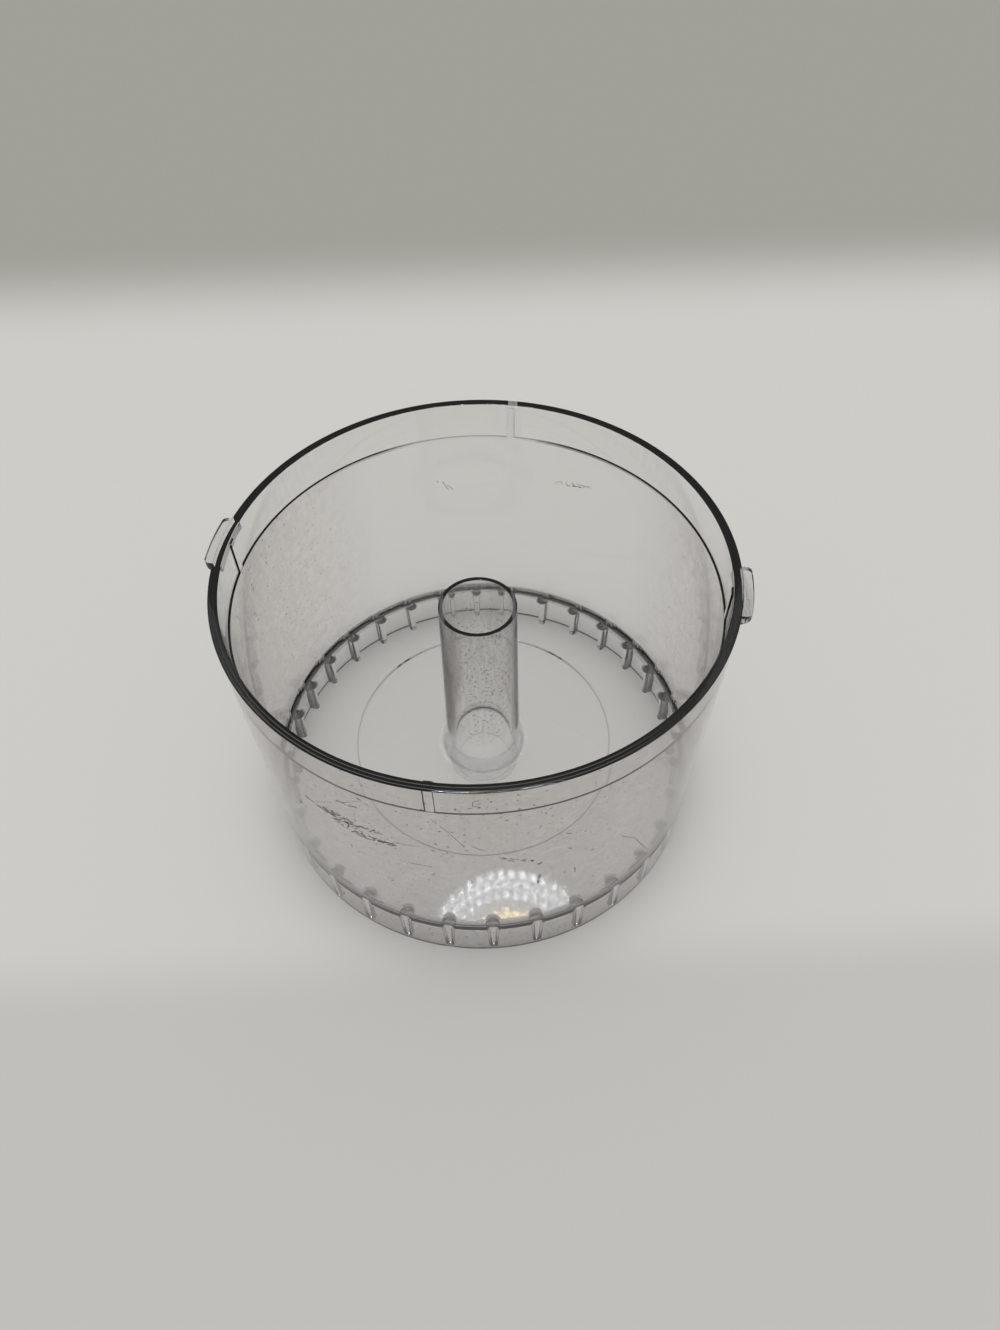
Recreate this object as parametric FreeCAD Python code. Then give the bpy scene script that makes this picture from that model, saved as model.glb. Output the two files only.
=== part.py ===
import FreeCAD, Part
import math
import os

# Work bowl of a small food chopper, moulded in one piece of clear plastic.
# Millimetres, +Z up. The origin is the centre of the bottom edge, on the
# surface that the bowl stands on. The two locking lugs lie on the X axis.

# Wall
RIM_OUTER_RADIUS = 60.0
BOWL_HEIGHT = 82.3
OUTER_DRAFT = 0.88          # degrees, the outside narrows towards the foot
RIM_WALL = 1.95             # wall beside the lid seat
RIM_EDGE = 0.3              # bevel of both edges of the rim

# Lid seat: a wider band under the rim that ends on a narrow ledge
SEAT_DEPTH = 9.9
SEAT_LEDGE = 0.7
INNER_DRAFT = 0.57          # degrees, the inside narrows towards the floor
KEY_COUNT = 4               # upright keys that bridge the seat to the wall's inner face
KEY_WIDTH = 2.0
KEY_DROP = 0.6              # from the rim down to the top of a key

# Floor
FLOOR_HEIGHT = 12.6         # top of the floor, above the foot
FLOOR_THICKNESS = 1.5
FLOOR_FILLET = 1.5          # where the floor meets the wall, inside the bowl
DISH_RADIUS = 36.4          # shallow round recess in the middle of the floor
DISH_DEPTH = 0.2

# Drive tube in the middle, open at both ends
BORE_RADIUS = 8.5
TUBE_WALL = 0.93            # at the top of the tube
TUBE_DRAFT = 0.8            # degrees, the tube widens towards the floor
TUBE_DROP = 14.5            # from the rim down to the top of the tube
TUBE_EDGE = 0.2             # bevel of both edges of the tube's top
TUBE_FILLET = 1.7           # where the tube meets the floor
BOSS_WALL = 1.5             # at the lower end, below the floor
BOSS_DRAFT = 1.0            # degrees
BOSS_LIFT = 0.6             # lower end of the boss, above the foot

# Skirt below the floor, with the posts that locate the bowl on its base
SKIRT_WALL = 1.9            # at the foot
SKIRT_DRAFT = 1.0           # degrees, the inside widens towards the foot
FOOT_EDGE = 0.3             # bevel of both edges of the foot
POST_COUNT = 32
POST_WIDTH = 2.1            # at the lower end
POST_REACH = 2.7            # from the skirt's inner face to the nose, at the lower end
POST_NOSE_BEVEL = 0.7       # takes the corners off the nose
POST_DRAFT = 2.0            # degrees, on every side
POST_LIFT = 0.6             # lower end of a post, above the foot
POST_FLARE = 0.35           # how much the root spreads on every side
POST_FLARE_HEIGHT = 1.3

# Locking lugs on the outside of the rim
LUG_WIDTH = 15.0
LUG_REACH = 2.3             # beyond the rim
LUG_DROP = 0.5              # from the rim down to the top of a lug
LUG_ROOT_HEIGHT = 3.2
LUG_TIP_HEIGHT = 1.5
LUG_CORNER_RADIUS = 1.2

# How far a feature is let into the wall that carries it, as a share of that wall
ROOT_SHARE = 0.5


def slope(degrees):
    """Sideways run for each millimetre of height at a draft angle."""
    return math.tan(math.radians(degrees))


SEAT_RADIUS = RIM_OUTER_RADIUS - RIM_WALL
LEDGE_Z = BOWL_HEIGHT - SEAT_DEPTH
UNDERSIDE_Z = FLOOR_HEIGHT - FLOOR_THICKNESS
TUBE_TOP_Z = BOWL_HEIGHT - TUBE_DROP


def outer_radius(z):
    return RIM_OUTER_RADIUS - (BOWL_HEIGHT - z) * slope(OUTER_DRAFT)


def inner_radius(z):
    """Inner face of the wall, from the ledge down to the floor."""
    return SEAT_RADIUS - SEAT_LEDGE - (LEDGE_Z - z) * slope(INNER_DRAFT)


def skirt_radius(z):
    """Inner face of the skirt, below the floor."""
    return outer_radius(0) - SKIRT_WALL - z * slope(SKIRT_DRAFT)


def tube_radius(z):
    return BORE_RADIUS + TUBE_WALL + (TUBE_TOP_Z - z) * slope(TUBE_DRAFT)


def boss_radius(z):
    return BORE_RADIUS + BOSS_WALL + (z - BOSS_LIFT) * slope(BOSS_DRAFT)


def point(radius, z):
    return FreeCAD.Vector(radius, 0, z)


def sharp(corner, to_last, to_next):
    """A corner that is left as it is."""
    return corner, corner, None


def bevel(size):
    """A corner cut off straight, by the same length on both sides."""
    def cut(corner, to_last, to_next):
        start = corner + to_last * size
        end = corner + to_next * size
        return start, end, Part.LineSegment(start, end)
    return cut


def fillet(radius):
    """A corner rounded by an arc."""
    def cut(corner, to_last, to_next):
        half = to_last.getAngle(to_next) / 2
        start = corner + to_last * (radius / math.tan(half))
        end = corner + to_next * (radius / math.tan(half))
        inwards = (to_last + to_next).normalize()
        middle = corner + inwards * (radius / math.sin(half) - radius)
        return start, end, Part.Arc(start, middle, end)
    return cut


def outline(corners):
    """Closed wire through the corners, each a point and the way it is cut."""
    cuts = []
    count = len(corners)
    for i in range(count):
        corner, cut = corners[i]
        to_last = (corners[i - 1][0] - corner).normalize()
        to_next = (corners[(i + 1) % count][0] - corner).normalize()
        cuts.append(cut(corner, to_last, to_next))
    edges = []
    for i in range(count):
        start, end, curve = cuts[i]
        if curve is not None:
            edges.append(curve.toShape())
        edges.append(Part.LineSegment(end, cuts[(i + 1) % count][0]).toShape())
    return Part.Wire(edges)


def turned_body():
    """Wall, lid seat, floor, tube, boss and skirt, turned from one profile."""
    dish_z = FLOOR_HEIGHT - DISH_DEPTH
    corners = [
        (point(outer_radius(0), 0), bevel(FOOT_EDGE)),
        (point(outer_radius(BOWL_HEIGHT), BOWL_HEIGHT), bevel(RIM_EDGE)),
        (point(SEAT_RADIUS, BOWL_HEIGHT), bevel(RIM_EDGE)),
        (point(SEAT_RADIUS, LEDGE_Z), sharp),
        (point(inner_radius(LEDGE_Z), LEDGE_Z), sharp),
        (point(inner_radius(FLOOR_HEIGHT), FLOOR_HEIGHT), fillet(FLOOR_FILLET)),
        (point(DISH_RADIUS, FLOOR_HEIGHT), sharp),
        (point(DISH_RADIUS, dish_z), sharp),
        (point(tube_radius(dish_z), dish_z), fillet(TUBE_FILLET)),
        (point(tube_radius(TUBE_TOP_Z), TUBE_TOP_Z), bevel(TUBE_EDGE)),
        (point(BORE_RADIUS, TUBE_TOP_Z), bevel(TUBE_EDGE)),
        (point(BORE_RADIUS, BOSS_LIFT), sharp),
        (point(boss_radius(BOSS_LIFT), BOSS_LIFT), sharp),
        (point(boss_radius(UNDERSIDE_Z), UNDERSIDE_Z), sharp),
        (point(skirt_radius(UNDERSIDE_Z), UNDERSIDE_Z), sharp),
        (point(skirt_radius(0), 0), bevel(FOOT_EDGE)),
    ]
    return Part.Face(outline(corners)).revolve(FreeCAD.Vector(), FreeCAD.Vector(0, 0, 1), 360)


def post_outline(z, spread):
    """Level outline of a post on the X axis, let into the skirt, with a bevelled nose."""
    taper = (z - POST_LIFT) * slope(POST_DRAFT) + spread
    half = POST_WIDTH / 2 + taper
    nose = skirt_radius(POST_LIFT) - POST_REACH - taper
    root = skirt_radius(z) + SKIRT_WALL * ROOT_SHARE
    one_side = [(root, half), (nose + POST_NOSE_BEVEL, half), (nose, half - POST_NOSE_BEVEL)]
    other_side = [(x, -y) for x, y in reversed(one_side)]
    corners = [FreeCAD.Vector(x, y, z) for x, y in one_side + other_side]
    return Part.makePolygon(corners + corners[:1])


def post():
    """Locating post inside the skirt: a drafted stem that flares into the floor."""
    flare_z = UNDERSIDE_Z - POST_FLARE_HEIGHT
    floor_z = UNDERSIDE_Z + FLOOR_THICKNESS * ROOT_SHARE
    stem = Part.makeLoft([post_outline(POST_LIFT, 0), post_outline(floor_z, 0)], True, True)
    flare = Part.makeLoft([post_outline(flare_z, 0), post_outline(floor_z, POST_FLARE)], True, True)
    return stem.fuse(flare)


def lug():
    """Locking lug on the +X side: flat top, underside that rises to the tip."""
    top = BOWL_HEIGHT - LUG_DROP
    root = outer_radius(top - LUG_ROOT_HEIGHT) - RIM_WALL * ROOT_SHARE
    tip = RIM_OUTER_RADIUS + LUG_REACH
    section = Part.makePolygon([
        FreeCAD.Vector(root, -LUG_WIDTH / 2, top),
        FreeCAD.Vector(tip, -LUG_WIDTH / 2, top),
        FreeCAD.Vector(tip, -LUG_WIDTH / 2, top - LUG_TIP_HEIGHT),
        FreeCAD.Vector(root, -LUG_WIDTH / 2, top - LUG_ROOT_HEIGHT),
        FreeCAD.Vector(root, -LUG_WIDTH / 2, top),
    ])
    bar = Part.Face(section).extrude(FreeCAD.Vector(0, LUG_WIDTH, 0))
    reach = Part.makeCylinder(tip, BOWL_HEIGHT)
    bar = bar.common(reach)
    corners = [e for e in bar.Edges if is_lug_corner(e)]
    return bar.makeFillet(LUG_CORNER_RADIUS, corners)


def is_lug_corner(edge):
    """Upright edge at an outer corner of a lug."""
    box = edge.BoundBox
    upright = box.XLength < 1e-4 and box.YLength < 1e-4
    return upright and box.XMin > RIM_OUTER_RADIUS


def seat_key():
    """Upright key on the +X side of the lid seat, flush with the wall below it."""
    inner = inner_radius(LEDGE_Z)
    depth = SEAT_LEDGE + RIM_WALL * ROOT_SHARE
    block = Part.makeBox(
        depth, KEY_WIDTH, SEAT_DEPTH - KEY_DROP + SEAT_LEDGE,
        FreeCAD.Vector(inner, -KEY_WIDTH / 2, LEDGE_Z - SEAT_LEDGE),
    )
    core = Part.makeCylinder(inner, BOWL_HEIGHT)
    return block.cut(core)


def around(shape, count):
    """Copies of a shape, evenly spaced about the Z axis."""
    copies = []
    for i in range(count):
        turned = shape.copy()
        turned.rotate(FreeCAD.Vector(), FreeCAD.Vector(0, 0, 1), 360 * i / count)
        copies.append(turned)
    return copies


def work_bowl():
    features = around(post(), POST_COUNT) + around(lug(), 2) + around(seat_key(), KEY_COUNT)
    return turned_body().fuse(features).removeSplitter()


def main():
    os.makedirs("parts", exist_ok=True)
    bowl = work_bowl()
    solids = bowl.Solids
    print("solids", len(solids), "valid", bowl.isValid(), "volume", round(bowl.Volume, 1))
    solids[0].exportStep("parts/work_bowl.step")


main()
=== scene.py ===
import logging
import math
import random
from dataclasses import dataclass, field
from enum import Enum
from typing import Any, Iterable, Iterator, Sequence

import bmesh
import bpy
from mathutils import Euler, Matrix, Vector


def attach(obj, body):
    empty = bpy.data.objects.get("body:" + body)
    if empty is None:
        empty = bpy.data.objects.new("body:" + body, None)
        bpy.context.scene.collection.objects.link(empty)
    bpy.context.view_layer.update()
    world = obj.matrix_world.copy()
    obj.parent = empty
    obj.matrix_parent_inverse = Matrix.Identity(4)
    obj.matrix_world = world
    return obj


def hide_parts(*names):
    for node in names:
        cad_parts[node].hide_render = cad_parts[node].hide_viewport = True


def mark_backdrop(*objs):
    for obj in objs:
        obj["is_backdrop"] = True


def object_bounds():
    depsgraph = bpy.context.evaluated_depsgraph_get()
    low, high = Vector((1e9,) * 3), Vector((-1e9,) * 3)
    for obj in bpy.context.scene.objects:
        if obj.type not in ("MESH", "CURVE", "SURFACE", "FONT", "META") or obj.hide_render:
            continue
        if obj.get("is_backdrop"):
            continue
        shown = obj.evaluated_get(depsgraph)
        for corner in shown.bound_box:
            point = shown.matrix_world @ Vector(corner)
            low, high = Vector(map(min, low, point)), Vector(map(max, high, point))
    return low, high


# Work bowl of a small food chopper: one clear moulding on a pale table.
# Sizes are in millimetres until a mesh is made, and metres from there on.
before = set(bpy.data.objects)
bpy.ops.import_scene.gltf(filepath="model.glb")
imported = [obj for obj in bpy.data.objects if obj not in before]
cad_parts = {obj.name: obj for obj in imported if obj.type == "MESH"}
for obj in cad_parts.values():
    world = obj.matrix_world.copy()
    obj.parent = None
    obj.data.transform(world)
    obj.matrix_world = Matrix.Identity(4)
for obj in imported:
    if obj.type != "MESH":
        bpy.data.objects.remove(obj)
CAD_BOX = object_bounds()
MM = 0.001
WELD = 2e-6     # points that are closer than this become one, in metres
LOG = logging.getLogger("work_bowl")

Point = tuple[float, float]
Span = tuple[float, float]                  # where something starts and where it ends
Zone = tuple[float, float, float, float]    # least and greatest radius, least and greatest height


def linear(hex_colour: str) -> tuple[float, float, float, float]:
    """Turns a colour as seen on a screen into the linear one that shaders take.

    Args:
        hex_colour: sRGB value such as "#ccccc6".

    Returns:
        Linear red, green, blue and an alpha of 1.
    """
    digits = hex_colour.lstrip("#")
    channels = []
    for i in (0, 2, 4):
        value = int(digits[i:i + 2], 16) / 255
        channels.append(value / 12.92 if value <= 0.04045 else ((value + 0.055) / 1.055) ** 2.4)
    return (*channels, 1.0)


def add_node(tree: bpy.types.NodeTree, kind: str, inputs: dict | None = None, **settings: Any) -> bpy.types.Node:
    """Adds a node, sets it up and links it.

    Args:
        tree: the node tree.
        kind: Blender's name of the node type.
        inputs: socket name or number to a value, or to the output socket that feeds it.
        settings: the node's own properties.

    Returns:
        The new node.
    """
    node = tree.nodes.new(kind)
    for name, value in settings.items():
        setattr(node, name, value)
    for name, value in (inputs or {}).items():
        if isinstance(value, bpy.types.NodeSocket):
            tree.links.new(value, node.inputs[name])
        else:
            node.inputs[name].default_value = value
    return node


def new_material(name: str) -> tuple[bpy.types.Material, bpy.types.NodeTree, bpy.types.Node]:
    """Starts an empty node material.

    Args:
        name: the material's name.

    Returns:
        The material, its node tree and its output node.
    """
    material = bpy.data.materials.new(name)
    material.use_nodes = True
    tree = material.node_tree
    tree.nodes.clear()
    return material, tree, add_node(tree, "ShaderNodeOutputMaterial")


def mesh_object(name: str, points: Iterable[Sequence[float]], faces: Iterable[Sequence[int]],
                edges: Iterable[Sequence[int]] = ()) -> bpy.types.Object:
    """Makes an object from points in millimetres, at the origin and linked to the scene.

    Args:
        name: the object's name.
        points: x, y and z of each point, in millimetres.
        faces: point numbers of each face.
        edges: point numbers of each loose edge.

    Returns:
        The new object.
    """
    mesh = bpy.data.meshes.new(name)
    mesh.from_pydata([Vector(p) * MM for p in points], list(edges), list(faces))
    mesh.update()
    made = bpy.data.objects.new(name, mesh)
    bpy.context.scene.collection.objects.link(made)
    return made


class Corner(Enum):
    """Number of short steps that draw a rounded corner."""

    EDGE = 5
    FILLET = 12


@dataclass(frozen=True)
class SectionCorner:
    """One corner of the bowl's section.

    Attributes:
        radius: distance from the bowl's axis.
        height: height above the table.
        rounding: radius of the corner's rounding.
        steps: how finely the rounding is drawn.
    """

    radius: float
    height: float
    rounding: float
    steps: Corner = Corner.EDGE


class BowlPlace:
    """Where a point of the bowl lies, as sockets of a material's tree.

    Attributes:
        tree: the material's tree.
        place: the point itself.
        x: how far it lies to the right of the axis.
        y: how far it lies behind the axis.
        height: how high it lies.
        radius: its distance from the axis.
    """

    def __init__(self, tree: bpy.types.NodeTree) -> None:
        """Adds the nodes that measure the point."""
        self.tree = tree
        self.place = add_node(tree, "ShaderNodeTexCoord").outputs["Object"]
        apart = add_node(tree, "ShaderNodeSeparateXYZ", {0: self.place})
        self.x, self.y, self.height = (apart.outputs[axis] for axis in "XYZ")
        level = add_node(tree, "ShaderNodeVectorMath", {0: self.place, 1: (1, 1, 0)}, operation="MULTIPLY")
        away = add_node(tree, "ShaderNodeVectorMath", {0: level.outputs[0]}, operation="LENGTH")
        self.radius = away.outputs["Value"]

    def zone(self, limits: Zone) -> bpy.types.NodeSocket:
        """Marks the places between two radii and two heights.

        Args:
            limits: the zone, in millimetres.

        Returns:
            A socket that is 1 there and 0 elsewhere.
        """
        marks = []
        for measure, (least, greatest) in ((self.radius, limits[:2]), (self.height, limits[2:])):
            between = add_node(self.tree, "ShaderNodeMath", {
                0: measure, 1: (least + greatest) / 2 * MM, 2: (greatest - least) / 2 * MM}, operation="COMPARE")
            marks.append(between.outputs[0])
        return self.overlap(*marks)

    def overlap(self, first: bpy.types.NodeSocket, *others: bpy.types.NodeSocket) -> bpy.types.NodeSocket:
        """Finds what several marks share.

        Args:
            first: socket of the first mark.
            others: sockets of the other marks.

        Returns:
            A socket with the product of them all.
        """
        shared = first
        for mark in others:
            shared = add_node(self.tree, "ShaderNodeMath", {0: shared, 1: mark}, operation="MULTIPLY").outputs[0]
        return shared


@dataclass(frozen=True)
class MouldedClearPlastic:
    """Styrene acrylonitrile, injection moulded against a polished mould.

    A clear hard plastic with a high gloss. Its edges look almost black, because light that enters them
    runs on inside the wall, and its faces are a little wavy from the mould. The sides of the locating posts
    come from an unpolished part of the mould and are dull. Years of use have left a haze on the tube and on
    the front of the wall, and have dulled the two rounded corners of the floor. Painted shade darkens the
    posts' sides and spots on the floor over them, the floor's corner with the wall at the back, the left and
    right of the wall's inner face and the tube's left and right edges; painted highlights draw two thin pale
    rings on the rim at the front.

    Attributes:
        tint: colour of the surface.
        haze_and_shade_tint: colour of the hazy front of the wall, and of the painted shade at the left and right of
            its inner face.
        speck_tint: colour of the specks in that haze and on the tube.
        tube_wear_and_shade_tint: colour of the worn places on the tube, and of the painted shade at its left and right
            edges.
        post_shade_tint: painted shade on the posts' dull sides and on the spots over them.
        corner_shade_tint: painted shade in the floor's dull corner with the wall, at the back.
        rim_highlight_tint: colour of the two thin rings of painted highlight on the rim.
        insert_tint: colour of the line that the edge of the mould's insert has left on the floor.
        depth_tint: colour that a long way through the plastic takes on.
        absorption: how fast that happens, for each metre.
        lamp_tint: what each face lets through of the light that falls on the table below.
        skirt_lamp_tint: the same for the skirt, which shades the table beside it.
        ior: refractive index of the plastic.
        roughness: small, from years of washing.
        head_roughness: of the posts' dull sides.
        corner_roughness: of the floor's rounded corner with the wall.
        foot_roughness: of its rounded corner with the tube.
        wall_roughness: of the wall's inner face at the back.
        foot_clear: share of the light that crosses the tube's foot unbent, as it does in a very clear spot.
        ledge_clear: the same for the ledge of the lid seat at the back.
        rim_lines: radii of the rings of painted highlight, in millimetres.
        rim_line_width: their width.
        rim_highlight_share: how strong each ring's painted highlight is, at the front.
        rim_fade: how fast the rings fade away from the front, as a power.
        wave_mm: distance between the gentle waves of the moulded faces.
        wave_height: strength of the waves.
        grain_mm: width of the fine wear on the floor.
        grain_height: strength of that wear.
        relief_mm: depth that waves and wear would have at full strength.
        haze_mm: size of the patches in the wall's haze.
        haze_noise: the noise between which a patch grows from thin to thick.
        haze_share: how hazy the thin and the thick places are.
        speck_mm: width of the specks on the tube and the wall.
        wall_specks: the noise between which a speck on the wall sets in.
        tube_specks: the same on the tube.
        tube_speck_share: how dark the tube's specks are.
        streak_mm: width of the upright streaks on the tube.
        streak_stretch: that width as a share of the streaks' length.
        streak_noise: the noise between which a streak grows from faint to strong.
        streak_share: how worn the faint and the strong places are.
        shaded_side: bearing of the tube's edge with the most painted shade, in degrees.
        painted_light: start, end and strength of the painted shade at that edge and at the opposite one, where 1 is
            that edge's middle.
        tube_low: the tube's haze grows between these heights.
        tube_high: it grows from its top downwards between these.
        tube_top_haze: the haze that is left at the top, as a share.
        post_count: how many posts there are.
        post_side: distance from a post's middle to where its dull sides begin.
        shade_spot: distance from the axis and radius of the spot of painted shade on the floor over each post.
        shade_spot_edge: width of that spot's soft edge.
        front: the haze outside grows between these distances in front of the axis.
        sides: the painted shade on the inner face grows between these distances to either side of the axis.
        rear: the unbent share grows between these distances behind it.
        rim_face: the rim's top face.
        ledge: the lid seat's ledge and keys.
        wall_face: the wall's outer face.
        inner_face: its inner face.
        wall_corner: the rounded corner between floor and wall.
        floor_face: the floor's upper face.
        insert_line: the line of the mould's insert on it.
        tube_corner: the rounded corner between floor and tube.
        tube_foot: the tube's foot and the boss below it.
        tube_face: the tube's outer face.
        skirt: the whole skirt.
        skirt_face: its inner face.
        posts: the locating posts.
    """

    tint: str = "#fbfbfa"
    haze_and_shade_tint: str = "#dfdbda"
    speck_tint: str = "#5c5856"
    tube_wear_and_shade_tint: str = "#8c8787"
    post_shade_tint: str = "#757373"
    corner_shade_tint: str = "#b9b6b4"
    rim_highlight_tint: str = "#b4b4b2"
    insert_tint: str = "#d2cecb"
    depth_tint: str = "#84828e"
    absorption: float = 30.0
    lamp_tint: str = "#fefefe"
    skirt_lamp_tint: str = "#cacaca"
    ior: float = 1.57
    roughness: float = 0.02
    head_roughness: float = 0.3
    corner_roughness: float = 0.2
    foot_roughness: float = 0.2
    wall_roughness: float = 0.07
    foot_clear: float = 0.65
    ledge_clear: float = 0.6
    rim_lines: tuple[float, ...] = (58.7, 59.5)
    rim_line_width: float = 0.13
    rim_highlight_share: float = 0.3
    rim_fade: float = 4.0
    wave_mm: float = 14.0
    wave_height: float = 0.1
    grain_mm: float = 0.8
    grain_height: float = 0.03
    relief_mm: float = 0.1
    haze_mm: float = 2.6
    haze_noise: Span = (0.35, 0.65)
    haze_share: Span = (0.5, 1.4)
    speck_mm: float = 0.8
    wall_specks: Span = (0.69, 0.73)
    tube_specks: Span = (0.61, 0.68)
    tube_speck_share: float = 0.8
    streak_mm: float = 0.8
    streak_stretch: float = 0.1
    streak_noise: Span = (0.35, 0.7)
    streak_share: Span = (0.06, 0.34)
    shaded_side: float = -169.0
    painted_light: tuple[tuple[float, float, float], ...] = ((0.5, 0.93, 0.95), (-0.82, -0.97, 0.55))
    tube_low: Span = (17.0, 32.0)
    tube_high: Span = (64.0, 48.0)
    tube_top_haze: float = 0.4
    post_count: int = 32
    post_side: float = 0.75
    shade_spot: Span = (54.6, 1.7)
    shade_spot_edge: float = 0.25
    front: Span = (-25.0, 52.0)
    sides: Span = (36.0, 57.0)
    rear: Span = (25.0, 55.0)
    rim_face: Zone = (58.0, 59.8, 82.1, 83.0)
    ledge: Zone = (57.0, 57.83, 71.8, 82.0)
    wall_face: Zone = (58.3, 60.1, -1.0, 90.0)
    inner_face: Zone = (56.2, 57.7, 15.0, 73.0)
    wall_corner: Zone = (54.4, 56.65, 12.2, 15.1)
    floor_face: Zone = (11.0, 54.4, 12.0, 12.8)
    insert_line: Zone = (35.78, 36.1, 12.0, 12.8)
    tube_corner: Zone = (9.0, 12.4, 12.0, 16.5)
    tube_foot: Zone = (8.7, 12.8, 0.2, 16.4)
    tube_face: Zone = (9.0, 11.2, 14.0, 90.0)
    skirt: Zone = (55.8, 59.2, -1.0, 13.0)
    skirt_face: Zone = (55.8, 57.2, -1.0, 10.9)
    posts: Zone = (55.4, 56.5, -1.0, 11.0)

    def make(self) -> bpy.types.Material:
        """Builds the material.

        Returns:
            The clear plastic, ready to be given to a mesh.
        """
        material, tree, output = new_material("moulded_clear_san")
        at = BowlPlace(tree)
        forward = add_node(tree, "ShaderNodeMapRange", {
            "Value": at.y, "From Min": -self.front[0] * MM, "From Max": -self.front[1] * MM}).outputs[0]
        backward = add_node(tree, "ShaderNodeMath", {0: 1.0, 1: forward}, operation="SUBTRACT").outputs[0]
        # Painted shade: the floor's rounded corner with the wall is darker at the back; this mask also makes it rough.
        corner = at.overlap(at.zone(self.wall_corner), backward)
        # The posts' sides and spots on the floor over them are dull, and their darker colour is painted shade.
        post_dulling_and_shade = self.post_dulling_and_shade_marks(at)
        shader = add_node(tree, "ShaderNodeBsdfPrincipled", {
            "Base Color": self.tone(at, forward, corner, post_dulling_and_shade),
            "Roughness": self.gloss(at, backward, corner, post_dulling_and_shade),
            "IOR": self.ior, "Transmission Weight": 1.0, "Normal": self.relief(at)})
        # Painted highlight: a pale grey diffuse share draws two thin rings on the rim, strongest at the front.
        painted_light = add_node(tree, "ShaderNodeBsdfDiffuse", {"Color": linear(self.rim_highlight_tint)})
        surface = add_node(tree, "ShaderNodeMixShader", {
            0: self.rim_highlight_rings(at, forward), 1: shader.outputs["BSDF"], 2: painted_light.outputs[0]})
        lit = add_node(tree, "ShaderNodeMix", {
            0: at.zone(self.skirt), 6: linear(self.lamp_tint), 7: linear(self.skirt_lamp_tint)}, data_type="RGBA")
        passed = add_node(tree, "ShaderNodeBsdfTransparent", {"Color": lit.outputs[2]})
        seen = add_node(tree, "ShaderNodeMixShader",
                        {0: self.unbent(at), 1: surface.outputs[0], 2: passed.outputs[0]})
        depth = add_node(tree, "ShaderNodeVolumeAbsorption",
                         {"Color": linear(self.depth_tint), "Density": self.absorption})
        tree.links.new(seen.outputs[0], output.inputs["Surface"])
        tree.links.new(depth.outputs["Volume"], output.inputs["Volume"])
        return material

    def tone(self, at: BowlPlace, forward: bpy.types.NodeSocket, corner: bpy.types.NodeSocket,
             post_dulling_and_shade: bpy.types.NodeSocket) -> bpy.types.NodeSocket:
        """Colours the surface, with the marks of moulding and wear, and painted shade, laid over each other.

        Args:
            at: the place on the bowl.
            forward: socket that grows towards the front.
            corner: socket that marks the floor's dull corner with the wall at the back, which carries painted shade.
            post_dulling_and_shade: socket that marks the posts' dull sides and the spots over them, which carry
                painted shade.

        Returns:
            The socket with the colour.
        """
        tree = at.tree
        faces = add_node(tree, "ShaderNodeMath", {0: at.zone(self.wall_face), 1: at.zone(self.skirt_face)},
                         operation="MAXIMUM").outputs[0]
        # The inner face darkens towards the left and right: painted shade. The outer faces and the skirt's inner face
        # get haze towards the front.
        aside = add_node(tree, "ShaderNodeMath", {0: at.x}, operation="ABSOLUTE")
        side_shade = add_node(tree, "ShaderNodeMapRange", {
            "Value": aside.outputs[0], "From Min": self.sides[0] * MM, "From Max": self.sides[1] * MM})
        haze_and_side_shade = add_node(tree, "ShaderNodeMath", {
            0: at.zone(self.inner_face), 1: side_shade.outputs[0], 2: at.overlap(faces, forward)},
            operation="MULTIPLY_ADD").outputs[0]
        hazy_and_shaded, specked = self.wall_wear_and_shade(at, haze_and_side_shade)
        worn_and_edge_shaded, pitted = self.tube_wear_and_shade(at)
        tone = linear(self.tint)
        # The haze colour at the left and right of the inner face, the tube colour at the tube's left and right edges,
        # and the corner and post colours are painted shade.
        for share, colour in ((at.zone(self.insert_line), self.insert_tint), (hazy_and_shaded, self.haze_and_shade_tint),
                              (specked, self.speck_tint), (worn_and_edge_shaded, self.tube_wear_and_shade_tint),
                              (pitted, self.speck_tint), (corner, self.corner_shade_tint), (post_dulling_and_shade, self.post_shade_tint)):
            tone = add_node(tree, "ShaderNodeMix", {0: share, 6: tone, 7: linear(colour)},
                            data_type="RGBA").outputs[2]
        return tone

    def gloss(self, at: BowlPlace, backward: bpy.types.NodeSocket, corner: bpy.types.NodeSocket,
              post_dulling_and_shade: bpy.types.NodeSocket) -> bpy.types.NodeSocket:
        """Makes the surface rough where it is worn, or where the mould wasn't polished.

        Args:
            at: the place on the bowl.
            backward: socket that grows towards the back.
            corner: socket that marks the floor's dull corner with the wall.
            post_dulling_and_shade: socket that marks the posts' dull sides and the spots over them.

        Returns:
            The socket with the roughness.
        """
        back_wall = at.overlap(at.zone(self.inner_face), backward)
        rough = self.roughness
        for share, value in ((post_dulling_and_shade, self.head_roughness), (corner, self.corner_roughness),
                             (back_wall, self.wall_roughness), (at.zone(self.tube_corner), self.foot_roughness)):
            rough = add_node(at.tree, "ShaderNodeMath", {0: share, 1: value - self.roughness, 2: rough},
                             operation="MULTIPLY_ADD").outputs[0]
        return rough

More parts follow.
